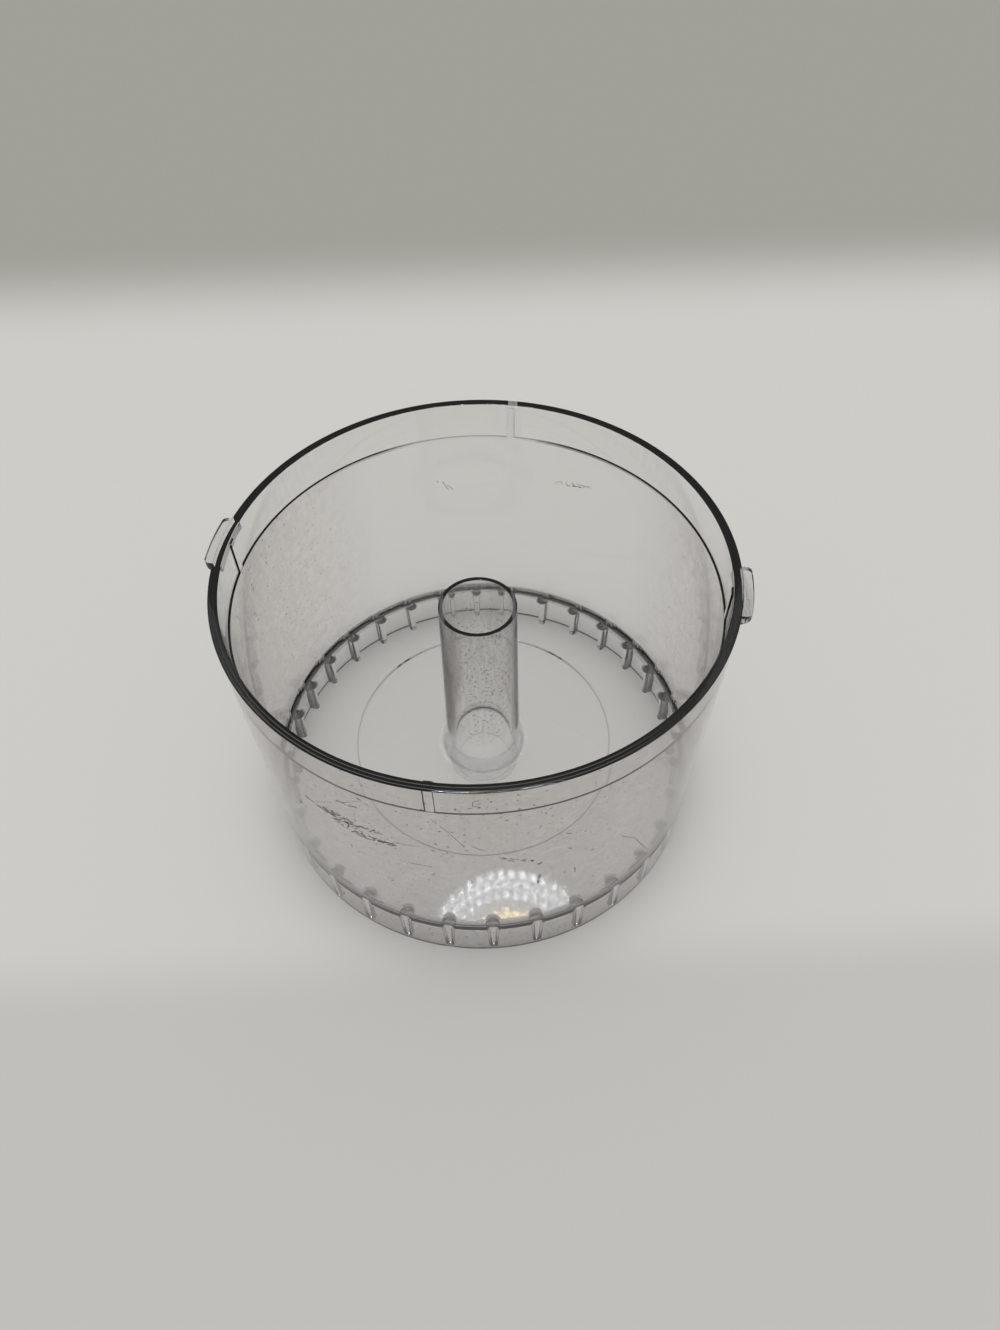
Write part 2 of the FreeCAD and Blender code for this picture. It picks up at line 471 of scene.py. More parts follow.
    def unbent(self, at: BowlPlace) -> bpy.types.NodeSocket:
        """Finds how much light goes straight through.

        All of the light that falls on the table does, and a share of what is seen through the thick foot
        of the tube and the ledge at the back.

        Args:
            at: the place on the bowl.

        Returns:
            The socket with that share.
        """
        tree = at.tree
        path = add_node(tree, "ShaderNodeLightPath")
        straight = add_node(tree, "ShaderNodeMath", {
            0: path.outputs["Is Shadow Ray"], 1: path.outputs["Is Diffuse Ray"]}, operation="MAXIMUM").outputs[0]
        rearward = add_node(tree, "ShaderNodeMapRange", {
            "Value": at.y, "From Min": self.rear[0] * MM, "From Max": self.rear[1] * MM})
        ledge = at.overlap(at.zone(self.ledge), rearward.outputs[0])
        for share, value in ((at.zone(self.tube_foot), self.foot_clear), (ledge, self.ledge_clear)):
            straight = add_node(tree, "ShaderNodeMath", {0: share, 1: value, 2: straight},
                                operation="MULTIPLY_ADD").outputs[0]
        return straight

    def post_dulling_and_shade_marks(self, at: BowlPlace) -> bpy.types.NodeSocket:
        """Marks the sides of each post and a spot on the floor over it, which are dull and carry painted shade.

        Args:
            at: the place on the bowl.

        Returns:
            A socket that is 1 there and 0 elsewhere.
        """
        tree = at.tree
        bearing = add_node(tree, "ShaderNodeMath", {0: at.y, 1: at.x}, operation="ARCTAN2")
        pitch = math.tau / self.post_count
        centred = add_node(tree, "ShaderNodeMath", {0: bearing.outputs[0], 1: pitch}, operation="DIVIDE")
        centred = add_node(tree, "ShaderNodeMath", {0: centred.outputs[0]}, operation="ROUND")
        near = add_node(tree, "ShaderNodeMath", {0: centred.outputs[0], 1: pitch}, operation="MULTIPLY")
        turn = add_node(tree, "ShaderNodeMath", {0: bearing.outputs[0], 1: near.outputs[0]}, operation="SUBTRACT")
        turn = add_node(tree, "ShaderNodeMath", {0: turn.outputs[0]}, operation="ABSOLUTE")
        across = add_node(tree, "ShaderNodeMath", {0: turn.outputs[0], 1: at.radius}, operation="MULTIPLY")
        along = add_node(tree, "ShaderNodeMath", {0: at.radius, 1: self.shade_spot[0] * MM}, operation="SUBTRACT")
        spot = add_node(tree, "ShaderNodeCombineXYZ", {"X": across.outputs[0], "Y": along.outputs[0]})
        away = add_node(tree, "ShaderNodeVectorMath", {0: spot.outputs[0]}, operation="LENGTH")
        shade_spots = add_node(tree, "ShaderNodeMapRange", {
            "Value": away.outputs["Value"],
            "From Min": (self.shade_spot[1] + self.shade_spot_edge) * MM, "From Max": self.shade_spot[1] * MM})
        sides = add_node(tree, "ShaderNodeMath", {0: across.outputs[0], 1: self.post_side * MM},
                         operation="GREATER_THAN")
        return add_node(tree, "ShaderNodeMath", {
            0: at.overlap(shade_spots.outputs[0], at.zone(self.floor_face)),
            1: at.overlap(sides.outputs[0], at.zone(self.posts))}, operation="MAXIMUM").outputs[0]

    def rim_highlight_rings(self, at: BowlPlace, forward: bpy.types.NodeSocket) -> bpy.types.NodeSocket:
        """Draws two thin rings of painted highlight on the rim, strongest at the front.

        Args:
            at: the place on the bowl.
            forward: socket that grows towards the front.

        Returns:
            A socket with how much painted highlight each place has.
        """
        rings = 0.0
        for line in self.rim_lines:
            ring = add_node(at.tree, "ShaderNodeMath", {
                0: at.radius, 1: line * MM, 2: self.rim_line_width / 2 * MM}, operation="COMPARE")
            rings = add_node(at.tree, "ShaderNodeMath", {0: ring.outputs[0], 1: self.rim_highlight_share, 2: rings},
                             operation="MULTIPLY_ADD").outputs[0]
        nearest = add_node(at.tree, "ShaderNodeMath", {0: forward, 1: self.rim_fade}, operation="POWER")
        return at.overlap(rings, at.zone(self.rim_face), nearest.outputs[0])

    def wall_wear_and_shade(self, at: BowlPlace,
                  haze_and_side_shade: bpy.types.NodeSocket) -> tuple[bpy.types.NodeSocket, bpy.types.NodeSocket]:
        """Draws the patchy haze and the fine specks on the wall, and the painted shade at the left and right of its
        inner face.

        Args:
            at: the place on the bowl.
            haze_and_side_shade: socket that marks the hazy front faces of the wall and the painted shade at the left
                and right of its inner face.

        Returns:
            Two sockets: how much haze and painted shade each place has, and how much of it is a speck.
        """
        patches = add_node(at.tree, "ShaderNodeTexNoise", {
            "Vector": at.place, "Scale": 1 / (self.haze_mm * MM), "Detail": 4.0, "Roughness": 0.7})
        patchy = add_node(at.tree, "ShaderNodeMapRange", {
            "Value": patches.outputs["Fac"], "From Min": self.haze_noise[0], "From Max": self.haze_noise[1],
            "To Min": self.haze_share[0], "To Max": self.haze_share[1]})
        specks = add_node(at.tree, "ShaderNodeTexNoise", {
            "Vector": at.place, "Scale": 1 / (self.speck_mm * MM), "Detail": 1.0})
        sharp = add_node(at.tree, "ShaderNodeMapRange", {
            "Value": specks.outputs["Fac"], "From Min": self.wall_specks[0], "From Max": self.wall_specks[1]})
        return at.overlap(patchy.outputs[0], haze_and_side_shade), at.overlap(sharp.outputs[0], haze_and_side_shade)

    def tube_wear_and_shade(self, at: BowlPlace) -> tuple[bpy.types.NodeSocket, bpy.types.NodeSocket]:
        """Draws the haze, the upright streaks and the specks that the blade's hub has left on the tube, and painted
        shade on its left and right edges.

        Args:
            at: the place on the bowl.

        Returns:
            Two sockets: how worn and how much in painted shade each place is, and how much of it is a speck.
        """
        tree = at.tree
        upright = add_node(tree, "ShaderNodeVectorMath", {0: at.place, 1: (1, 1, self.streak_stretch)},
                           operation="MULTIPLY")
        streaks = add_node(tree, "ShaderNodeTexNoise", {
            "Vector": upright.outputs[0], "Scale": 1 / (self.streak_mm * MM), "Detail": 2.0})
        worn_and_edge_shaded = add_node(tree, "ShaderNodeMapRange", {
            "Value": streaks.outputs["Fac"], "From Min": self.streak_noise[0], "From Max": self.streak_noise[1],
            "To Min": self.streak_share[0], "To Max": self.streak_share[1]})
        specks = add_node(tree, "ShaderNodeTexNoise", {
            "Vector": at.place, "Scale": 1 / (self.speck_mm * MM), "Detail": 1.0})
        specked = add_node(tree, "ShaderNodeMapRange", {
            "Value": specks.outputs["Fac"], "From Min": self.tube_specks[0], "From Max": self.tube_specks[1],
            "To Max": self.tube_speck_share})
        # Painted shade at the tube's left and right edges, laid onto the streaks.
        bearing = math.radians(self.shaded_side)
        across = add_node(tree, "ShaderNodeVectorMath", {
            0: at.place, 1: (math.cos(bearing), math.sin(bearing), 0)}, operation="DOT_PRODUCT")
        side = add_node(tree, "ShaderNodeMath", {0: across.outputs["Value"], 1: at.radius}, operation="DIVIDE")
        for start, end, most in self.painted_light:
            painted_light = add_node(tree, "ShaderNodeMapRange", {
                "Value": side.outputs[0], "From Min": start, "From Max": end, "To Max": most},
                interpolation_type="SMOOTHSTEP")
            worn_and_edge_shaded = add_node(tree, "ShaderNodeMath", {0: worn_and_edge_shaded.outputs[0], 1: painted_light.outputs[0]}, operation="ADD")
        level = at.zone(self.tube_face)
        for (start, end), least in ((self.tube_low, 0.0), (self.tube_high, self.tube_top_haze)):
            part = add_node(tree, "ShaderNodeMapRange", {
                "Value": at.height, "From Min": start * MM, "From Max": end * MM, "To Min": least},
                interpolation_type="SMOOTHSTEP")
            level = at.overlap(level, part.outputs[0])
        return at.overlap(worn_and_edge_shaded.outputs[0], level), at.overlap(specked.outputs[0], level)

    def relief(self, at: BowlPlace) -> bpy.types.NodeSocket:
        """Gives the faces the mould's gentle waves, and the floor the fine grain of wear.

        Args:
            at: the place on the bowl.

        Returns:
            The socket with the bumped normal.
        """
        waves = add_node(at.tree, "ShaderNodeTexNoise",
                         {"Vector": at.place, "Scale": 1 / (self.wave_mm * MM), "Detail": 1.0})
        wavy = add_node(at.tree, "ShaderNodeBump", {
            "Strength": self.wave_height, "Distance": self.relief_mm * MM, "Height": waves.outputs["Fac"]})
        grain = add_node(at.tree, "ShaderNodeTexNoise",
                         {"Vector": at.place, "Scale": 1 / (self.grain_mm * MM), "Detail": 0.6})
        strength = add_node(at.tree, "ShaderNodeMath", {0: at.zone(self.floor_face), 1: self.grain_height},
                            operation="MULTIPLY")
        return add_node(at.tree, "ShaderNodeBump", {
            "Strength": strength.outputs[0], "Distance": self.relief_mm * MM, "Height": grain.outputs["Fac"],
            "Normal": wavy.outputs["Normal"]}).outputs["Normal"]


@dataclass(frozen=True)
class ScratchedPlastic:
    """The torn, dull surface inside a scratch, which scatters light and so looks dark grey.

    Attributes:
        colour: the dirt that stays in the scratch.
        clean_colour: where less of it stays.
        patch_mm: size of the dirty and the cleaner places.
        roughness: high, because the surface is torn.
    """

    colour: str = "#191614"
    clean_colour: str = "#55514d"
    patch_mm: float = 0.8
    roughness: float = 0.7

    def make(self) -> bpy.types.Material:
        """Builds the material.

        Returns:
            The material of every scratch.
        """
        material, tree, output = new_material("scratched_san")
        place = add_node(tree, "ShaderNodeTexCoord").outputs["Object"]
        patches = add_node(tree, "ShaderNodeTexNoise", {
            "Vector": place, "Scale": 1 / (self.patch_mm * MM), "Detail": 2.0})
        tone = add_node(tree, "ShaderNodeMix", {
            0: patches.outputs["Fac"], 6: linear(self.colour), 7: linear(self.clean_colour)}, data_type="RGBA")
        shader = add_node(tree, "ShaderNodeBsdfPrincipled", {
            "Base Color": tone.outputs[2], "Roughness": self.roughness})
        tree.links.new(shader.outputs["BSDF"], output.inputs["Surface"])
        return material


@dataclass(frozen=True)
class Scratch:
    """A scratch on the wall, or a bundle of them side by side.

    Attributes:
        start: azimuth in degrees and height in millimetres where it starts.
        end: the same where it ends.
        width: width of each line, in millimetres.
        cover: share of each line's length that is marked.
        lines: how many lines lie side by side.
        spread: height of the band that they fill at its middle, in millimetres.
        shake: how far a line strays up and down, in millimetres.
        inside: True for the inner face of the wall.
    """

    start: Point
    end: Point
    width: float = 0.16
    cover: float = 0.9
    lines: int = 1
    spread: float = 0.0
    shake: float = 0.08
    inside: bool = False


@dataclass
class WorkBowl:
    """The bowl: a turned body with posts under its floor, keys in its lid seat and lugs on its rim.

    Every size is the moulding's own, in millimetres or degrees. An edge is the rounding of an outer
    corner, and a fillet or root that of an inner one.
    """

    rim_radius: float = 60.0
    rim_edge: float = 0.2
    height: float = 82.3
    outer_draft: float = 0.88
    rim_wall: float = 2.15
    foot_edge: float = 0.3
    seat_depth: float = 9.9
    seat_root: float = 0.14
    seat_ledge: float = 0.5
    ledge_edge: float = 0.16
    inner_draft: float = 0.57
    key_count: int = 4
    key_width: float = 2.0
    key_drop: float = 0.6
    key_set_back: float = 0.02
    key_taper: float = 0.12
    key_rows: tuple[float, ...] = (0.1, 0.4)
    key_top_row: float = 0.3
    floor_height: float = 12.6
    floor_thickness: float = 1.5
    floor_fillet: float = 2.4
    dish_radius: float = 36.4
    dish_edge: float = 0.15
    dish_depth: float = 0.15
    dish_groove: float = 0.2
    groove_width: float = 0.02
    groove_edge: float = 0.03
    dish_shoulder: float = 0.62
    bore_radius: float = 8.5
    bore_edge: float = 0.15
    tube_wall: float = 1.0
    tube_edge: float = 0.06
    tube_draft: float = 0.8
    tube_drop: float = 14.5
    tube_foot_radius: float = 11.4
    tube_foot_height: float = 16.0
    tube_foot_root: float = 0.9
    tube_foot_neck: float = 2.5
    boss_wall: float = 1.4
    boss_draft: float = 1.0
    boss_edge: float = 0.2
    boss_fillet: float = 2.2
    boss_lift: float = 0.6
    skirt_wall: float = 1.9
    skirt_draft: float = 1.0
    skirt_fillet: float = 0.6
    post_count: int = 32
    post_width: float = 2.1
    post_reach: float = 2.7
    post_draft: float = 2.0
    post_lift: float = 0.6
    post_flare: float = 0.35
    post_flare_height: float = 1.3
    lug_count: int = 2
    lug_width: float = 15.0
    lug_reach: float = 2.3
    lug_drop: float = 0.5
    lug_root_height: float = 3.2
    lug_tip_height: float = 1.5
    lug_corner: float = 1.2
    ring_steps: int = 320
    crease_angle: float = 32.0
    plastic: MouldedClearPlastic = field(default_factory=MouldedClearPlastic)

    @staticmethod
    def slope(draft: float) -> float:
        """Gives the sideways run for each millimetre of height at a draft in degrees."""
        return math.tan(math.radians(draft))

    @property
    def seat_radius(self) -> float:
        """Inner radius of the lid seat."""
        return self.rim_radius - self.rim_wall

    @property
    def ledge_height(self) -> float:
        """Height of the ledge under the lid seat."""
        return self.height - self.seat_depth

    @property
    def underside(self) -> float:
        """Height of the floor's lower face."""
        return self.floor_height - self.floor_thickness

    @property
    def tube_top(self) -> float:
        """Height of the drive tube's top."""
        return self.height - self.tube_drop

    def outer(self, z: float) -> float:
        """Gives the wall's outer radius at a height."""
        return self.rim_radius - (self.height - z) * self.slope(self.outer_draft)

    def inner(self, z: float) -> float:
        """Gives the wall's inner radius at a height below the ledge."""
        return self.seat_radius - self.seat_ledge - (self.ledge_height - z) * self.slope(self.inner_draft)

    def skirt(self, z: float) -> float:
        """Gives the skirt's inner radius at a height below the floor."""
        return self.outer(0) - self.skirt_wall - z * self.slope(self.skirt_draft)

    def tube(self, z: float) -> float:
        """Gives the drive tube's outer radius at a height above the floor."""
        return self.bore_radius + self.tube_wall + (self.tube_top - z) * self.slope(self.tube_draft)

    def boss(self, z: float) -> float:
        """Gives the boss's outer radius at a height below the floor."""
        return self.bore_radius + self.boss_wall + (z - self.boss_lift) * self.slope(self.boss_draft)

    def corners(self) -> list[SectionCorner]:
        """Lists the section's corners, up the outside, down the inside and back below the floor."""
        dish = self.floor_height - self.dish_depth
        shoulder = self.dish_radius - self.dish_shoulder
        under = self.underside
        return [
            SectionCorner(self.outer(0), 0, self.foot_edge),
            SectionCorner(self.outer(self.height), self.height, self.rim_edge),
            SectionCorner(self.seat_radius, self.height, self.rim_edge),
            SectionCorner(self.seat_radius, self.ledge_height, self.seat_root),
            SectionCorner(self.inner(self.ledge_height), self.ledge_height, self.ledge_edge),
            SectionCorner(self.inner(self.floor_height), self.floor_height, self.floor_fillet, Corner.FILLET),
            SectionCorner(self.dish_radius, self.floor_height, self.dish_edge),
            SectionCorner(shoulder, dish - self.dish_groove, self.groove_width),
            SectionCorner(shoulder - self.groove_width, dish, self.groove_edge),
            SectionCorner(self.tube_foot_radius, dish, self.tube_foot_root, Corner.FILLET),
            SectionCorner(self.tube(self.tube_foot_height), self.tube_foot_height, self.tube_foot_neck),
            SectionCorner(self.tube(self.tube_top), self.tube_top, self.tube_edge),
            SectionCorner(self.bore_radius, self.tube_top, self.tube_edge),
            SectionCorner(self.bore_radius, self.boss_lift, self.bore_edge),
            SectionCorner(self.boss(self.boss_lift), self.boss_lift, self.boss_edge),
            SectionCorner(self.boss(under), under, self.boss_fillet, Corner.FILLET),
            SectionCorner(self.skirt(under), under, self.skirt_fillet),
            SectionCorner(self.skirt(0), 0, self.foot_edge),
        ]

    def section(self) -> list[Point]:
        """Draws the section with its rounded corners.

        A point just outside each rounding keeps the long faces true beside it.

        Returns:
            Radius and height of each point of the closed section.
        """
        beside = 0.12
        corners = self.corners()
        count = len(corners)
        places = [Vector((corner.radius, corner.height)) for corner in corners]
        ways = [places[(i + 1) % count] - places[i] for i in range(count)]
        halves = [(-ways[i - 1]).angle(ways[i]) / 2 for i in range(count)]
        runs = [corner.rounding / math.tan(half) for corner, half in zip(corners, halves)]
        gaps = [min(beside, (ways[i].length - runs[i] - runs[(i + 1) % count]) / 3) for i in range(count)]
        points: list[Point] = []
        for i, corner in enumerate(corners):
            back, ahead = -ways[i - 1].normalized(), ways[i].normalized()
            middle = places[i] + (back + ahead).normalized() * (corner.rounding / math.sin(halves[i]))
            start = places[i] + back * runs[i] - middle
            sweep = start.angle_signed(places[i] + ahead * runs[i] - middle)
            drawn = [places[i] + back * (runs[i] + gaps[i - 1])]
            for k in range(corner.steps.value + 1):
                drawn.append(middle + Matrix.Rotation(-sweep * k / corner.steps.value, 2) @ start)
            drawn.append(places[i] + ahead * (runs[i] + gaps[i]))
            points.extend((p.x, p.y) for p in drawn)
        return points

    def section_wire(self) -> bpy.types.Object:
        """Makes the section as a closed wire, laid out for the sweep round the axis."""
        points = [(radius - self.rim_radius, -height, 0) for radius, height in self.section()]
        edges = [(i, (i + 1) % len(points)) for i in range(len(points))]
        return mesh_object("section", points, [], edges)

    def post(self) -> bpy.types.Object:
        """Makes one round-nosed locating post on the X axis, let into skirt and floor."""
        flare_z = self.underside - self.post_flare_height
        floor_z = self.underside + self.floor_thickness / 2
        levels = [(self.post_lift, 0.0), (flare_z, 0.0), (self.underside, self.post_flare),
                  (floor_z, self.post_flare)]
        steps = 10
        points = []
        for z, spread in levels:
            taper = (z - self.post_lift) * self.slope(self.post_draft) + spread
            half = self.post_width / 2 + taper
            nose = self.skirt(self.post_lift) - self.post_reach - taper
            root = self.skirt(z) + self.skirt_wall / 2
            ring = [(root, half)]
            for k in range(steps + 1):
                angle = math.pi / 2 + math.pi * k / steps
                ring.append((nose + half + half * math.cos(angle), half * math.sin(angle)))
            ring.append((root, -half))
            points.extend((x, y, z) for x, y in ring)
        return lofted("post", points, len(levels))

    def key(self) -> bpy.types.Object:
        """Makes one upright key of the lid seat on the X axis, let into the wall.

        Rows near its ends keep the shading of its long faces even.
        """
        inner = self.inner(self.ledge_height) + self.key_set_back
        outer = self.seat_radius + self.rim_wall / 2
        face = self.key_width / 2 - self.key_taper
        root = self.key_width / 2 + self.key_taper
        ring = [(outer, root), (self.seat_radius, root), (inner, face),
                (inner, -face), (self.seat_radius, -root), (outer, -root)]
        top = self.height - self.key_drop
        heights = (self.ledge_height - self.seat_ledge, *(self.ledge_height + row for row in self.key_rows),
                   top - self.key_top_row, top)
        return lofted("key", [(x, y, z) for z in heights for x, y in ring], len(heights))

    def lug(self) -> bpy.types.Object:
        """Makes one locking lug on the X axis: flat on top, with an underside that rises to its tip."""
        top = self.height - self.lug_drop
        root = self.rim_radius - self.rim_wall / 2
        tip = self.rim_radius + self.lug_reach
        half = self.lug_width / 2
        steps = 6
        ring = [(root, half)]
        for k in range(steps + 1):
            angle = math.pi / 2 * (1 - k / steps)
            ring.append((tip - self.lug_corner * (1 - math.cos(angle)),
                         half - self.lug_corner * (1 - math.sin(angle))))
        straight = half - self.lug_corner
        ring.extend((tip, straight * (1 - k / steps)) for k in range(1, steps + 1))
        ring += [(x, -y) for x, y in reversed(ring[:-1])]
        curved = [(x - (tip - math.sqrt(tip * tip - y * y)), y) for x, y in ring]
        fall = (self.lug_root_height - self.lug_tip_height) / (tip - root)
        lower = [(x, y, top - self.lug_tip_height - (tip - x) * fall) for x, y in curved]
        upper = [(x, y, top) for x, y in curved]
        return lofted("lug", lower + upper, 2)

    def build(self) -> bpy.types.Object:
        """Turns the section, adds posts, keys and lugs, and gives the result its plastic.

        Returns:
            The whole bowl as one closed mesh.
        """
        wire = self.section_wire()
        parts = [(self.post(), self.post_count), (self.key(), self.key_count), (self.lug(), self.lug_count)]
        tree = turned_tree([part.name for part, _ in parts])
        modifier = wire.modifiers.new("turn", "NODES")
        modifier.node_group = tree
        values: dict[str, Any] = {
            "Ring Radius": self.rim_radius * MM, "Ring Steps": self.ring_steps,
            "Crease Angle": math.radians(self.crease_angle), "Material": self.plastic.make()}
        for part, count in parts:
            values[f"{part.name} shape"] = part
            values[f"{part.name} count"] = count
        set_inputs(modifier, values)
        mesh = bpy.data.meshes.new_from_object(wire.evaluated_get(bpy.context.evaluated_depsgraph_get()))
        for helper in [wire] + [part for part, _ in parts]:
            bpy.data.objects.remove(helper)
        mesh.name = "clear_bowl"
        bowl = bpy.data.objects.new("clear_bowl", mesh)
        bpy.context.scene.collection.objects.link(bowl)
        return bowl


def lofted(name: str, points: list[Sequence[float]], levels: int) -> bpy.types.Object:
    """Closes a stack of outlines into a solid.

    Args:
        name: the object's name.
        points: the outlines' points in millimetres, level after level, from the lowest.
        levels: how many outlines there are.

    Returns:
        The closed object, with its faces outwards.
    """
    count = len(points) // levels
    faces = [list(range(count))[::-1], [count * (levels - 1) + i for i in range(count)]]
    for level in range(levels - 1):
        for i in range(count):
            a, b = level * count + i, level * count + (i + 1) % count
            faces.append([a, b, b + count, a + count])
    made = mesh_object(name, points, faces)
    work = bmesh.new()
    work.from_mesh(made.data)
    bmesh.ops.recalc_face_normals(work, faces=work.faces)
    work.to_mesh(made.data)
    work.free()
    return made


def set_inputs(modifier: bpy.types.Modifier, values: dict[str, Any]) -> None:
    """Sets a Geometry Nodes modifier's inputs by their shown names.

    Args:
        modifier: the modifier.
        values: shown name to value.
    """
    for item in modifier.node_group.interface.items_tree:
        if item.in_out == "INPUT" and item.name in values:
            modifier[item.identifier] = values[item.name]


def turned_tree(part_names: Sequence[str]) -> bpy.types.NodeTree:
    """Builds the tree that turns a section round the axis and unites it with rings of small parts.

    Args:
        part_names: name of each small part, which gets a shape and a count as inputs.

    Returns:
        The node tree.
    """
    tree = bpy.data.node_groups.new("turned body with rings of parts", "GeometryNodeTree")
    sockets = {"Geometry": "NodeSocketGeometry", "Ring Radius": "NodeSocketFloat", "Ring Steps": "NodeSocketInt",
               "Crease Angle": "NodeSocketFloat", "Material": "NodeSocketMaterial"}
    for name in part_names:
        sockets[f"{name} shape"] = "NodeSocketObject"
        sockets[f"{name} count"] = "NodeSocketInt"
    for name, kind in sockets.items():
        tree.interface.new_socket(name, in_out="INPUT", socket_type=kind)
    tree.interface.new_socket("Geometry", in_out="OUTPUT", socket_type="NodeSocketGeometry")
    given = add_node(tree, "NodeGroupInput").outputs

    section = add_node(tree, "GeometryNodeMeshToCurve", {"Mesh": given["Geometry"]})
    ring = add_node(tree, "GeometryNodeCurvePrimitiveCircle",
                    {"Resolution": given["Ring Steps"], "Radius": given["Ring Radius"]})
    body = add_node(tree, "GeometryNodeCurveToMesh",
                    {"Curve": ring.outputs["Curve"], "Profile Curve": section.outputs["Curve"]})
    united = add_node(tree, "GeometryNodeMeshBoolean", operation="UNION", solver="EXACT")
    tree.links.new(body.outputs["Mesh"], united.inputs["Mesh 2"])
    for name in part_names:
        copies = ring_of_copies(tree, given[f"{name} shape"], given[f"{name} count"])
        tree.links.new(copies, united.inputs["Mesh 2"])

    merged = add_node(tree, "GeometryNodeMergeByDistance",
                      {"Geometry": united.outputs["Mesh"], "Distance": WELD})
    smooth = add_node(tree, "GeometryNodeSetShadeSmooth", {"Geometry": merged.outputs["Geometry"]}, domain="FACE")
    angle = add_node(tree, "GeometryNodeInputMeshEdgeAngle")
    soft = add_node(tree, "FunctionNodeCompare",
                    {"A": angle.outputs["Unsigned Angle"], "B": given["Crease Angle"]}, operation="LESS_THAN")
    creased = add_node(tree, "GeometryNodeSetShadeSmooth",
                       {"Geometry": smooth.outputs["Geometry"], "Shade Smooth": soft.outputs["Result"]}, domain="EDGE")
    real = add_node(tree, "GeometryNodeRealizeInstances", {"Geometry": creased.outputs["Geometry"]})
    dressed = add_node(tree, "GeometryNodeSetMaterial",
                       {"Geometry": real.outputs["Geometry"], "Material": given["Material"]})
    add_node(tree, "NodeGroupOutput", {"Geometry": dressed.outputs["Geometry"]})
    return tree


def ring_of_copies(tree: bpy.types.NodeTree, shape: bpy.types.NodeSocket,
                   count: bpy.types.NodeSocket) -> bpy.types.NodeSocket:
    """Adds the nodes that repeat a part evenly round the Z axis.

    Args:
        tree: the Geometry Nodes tree.
        shape: socket with the part's object.
        count: socket with the number of copies.

    Returns:
        The socket with the copies as real geometry.
    """
    part = add_node(tree, "GeometryNodeObjectInfo", {"Object": shape})
    spots = add_node(tree, "GeometryNodeMeshLine", {"Count": count, "Offset": (0, 0, 0)})
    pitch = add_node(tree, "ShaderNodeMath", {0: math.tau, 1: count}, operation="DIVIDE")
    index = add_node(tree, "GeometryNodeInputIndex")
    turn = add_node(tree, "ShaderNodeMath", {0: index.outputs["Index"], 1: pitch.outputs[0]}, operation="MULTIPLY")
    about_z = add_node(tree, "ShaderNodeCombineXYZ", {"Z": turn.outputs[0]})
    copies = add_node(tree, "GeometryNodeInstanceOnPoints", {
        "Points": spots.outputs["Mesh"], "Instance": part.outputs["Geometry"], "Rotation": about_z.outputs[0]})
    return add_node(tree, "GeometryNodeRealizeInstances", {"Geometry": copies.outputs[0]}).outputs[0]


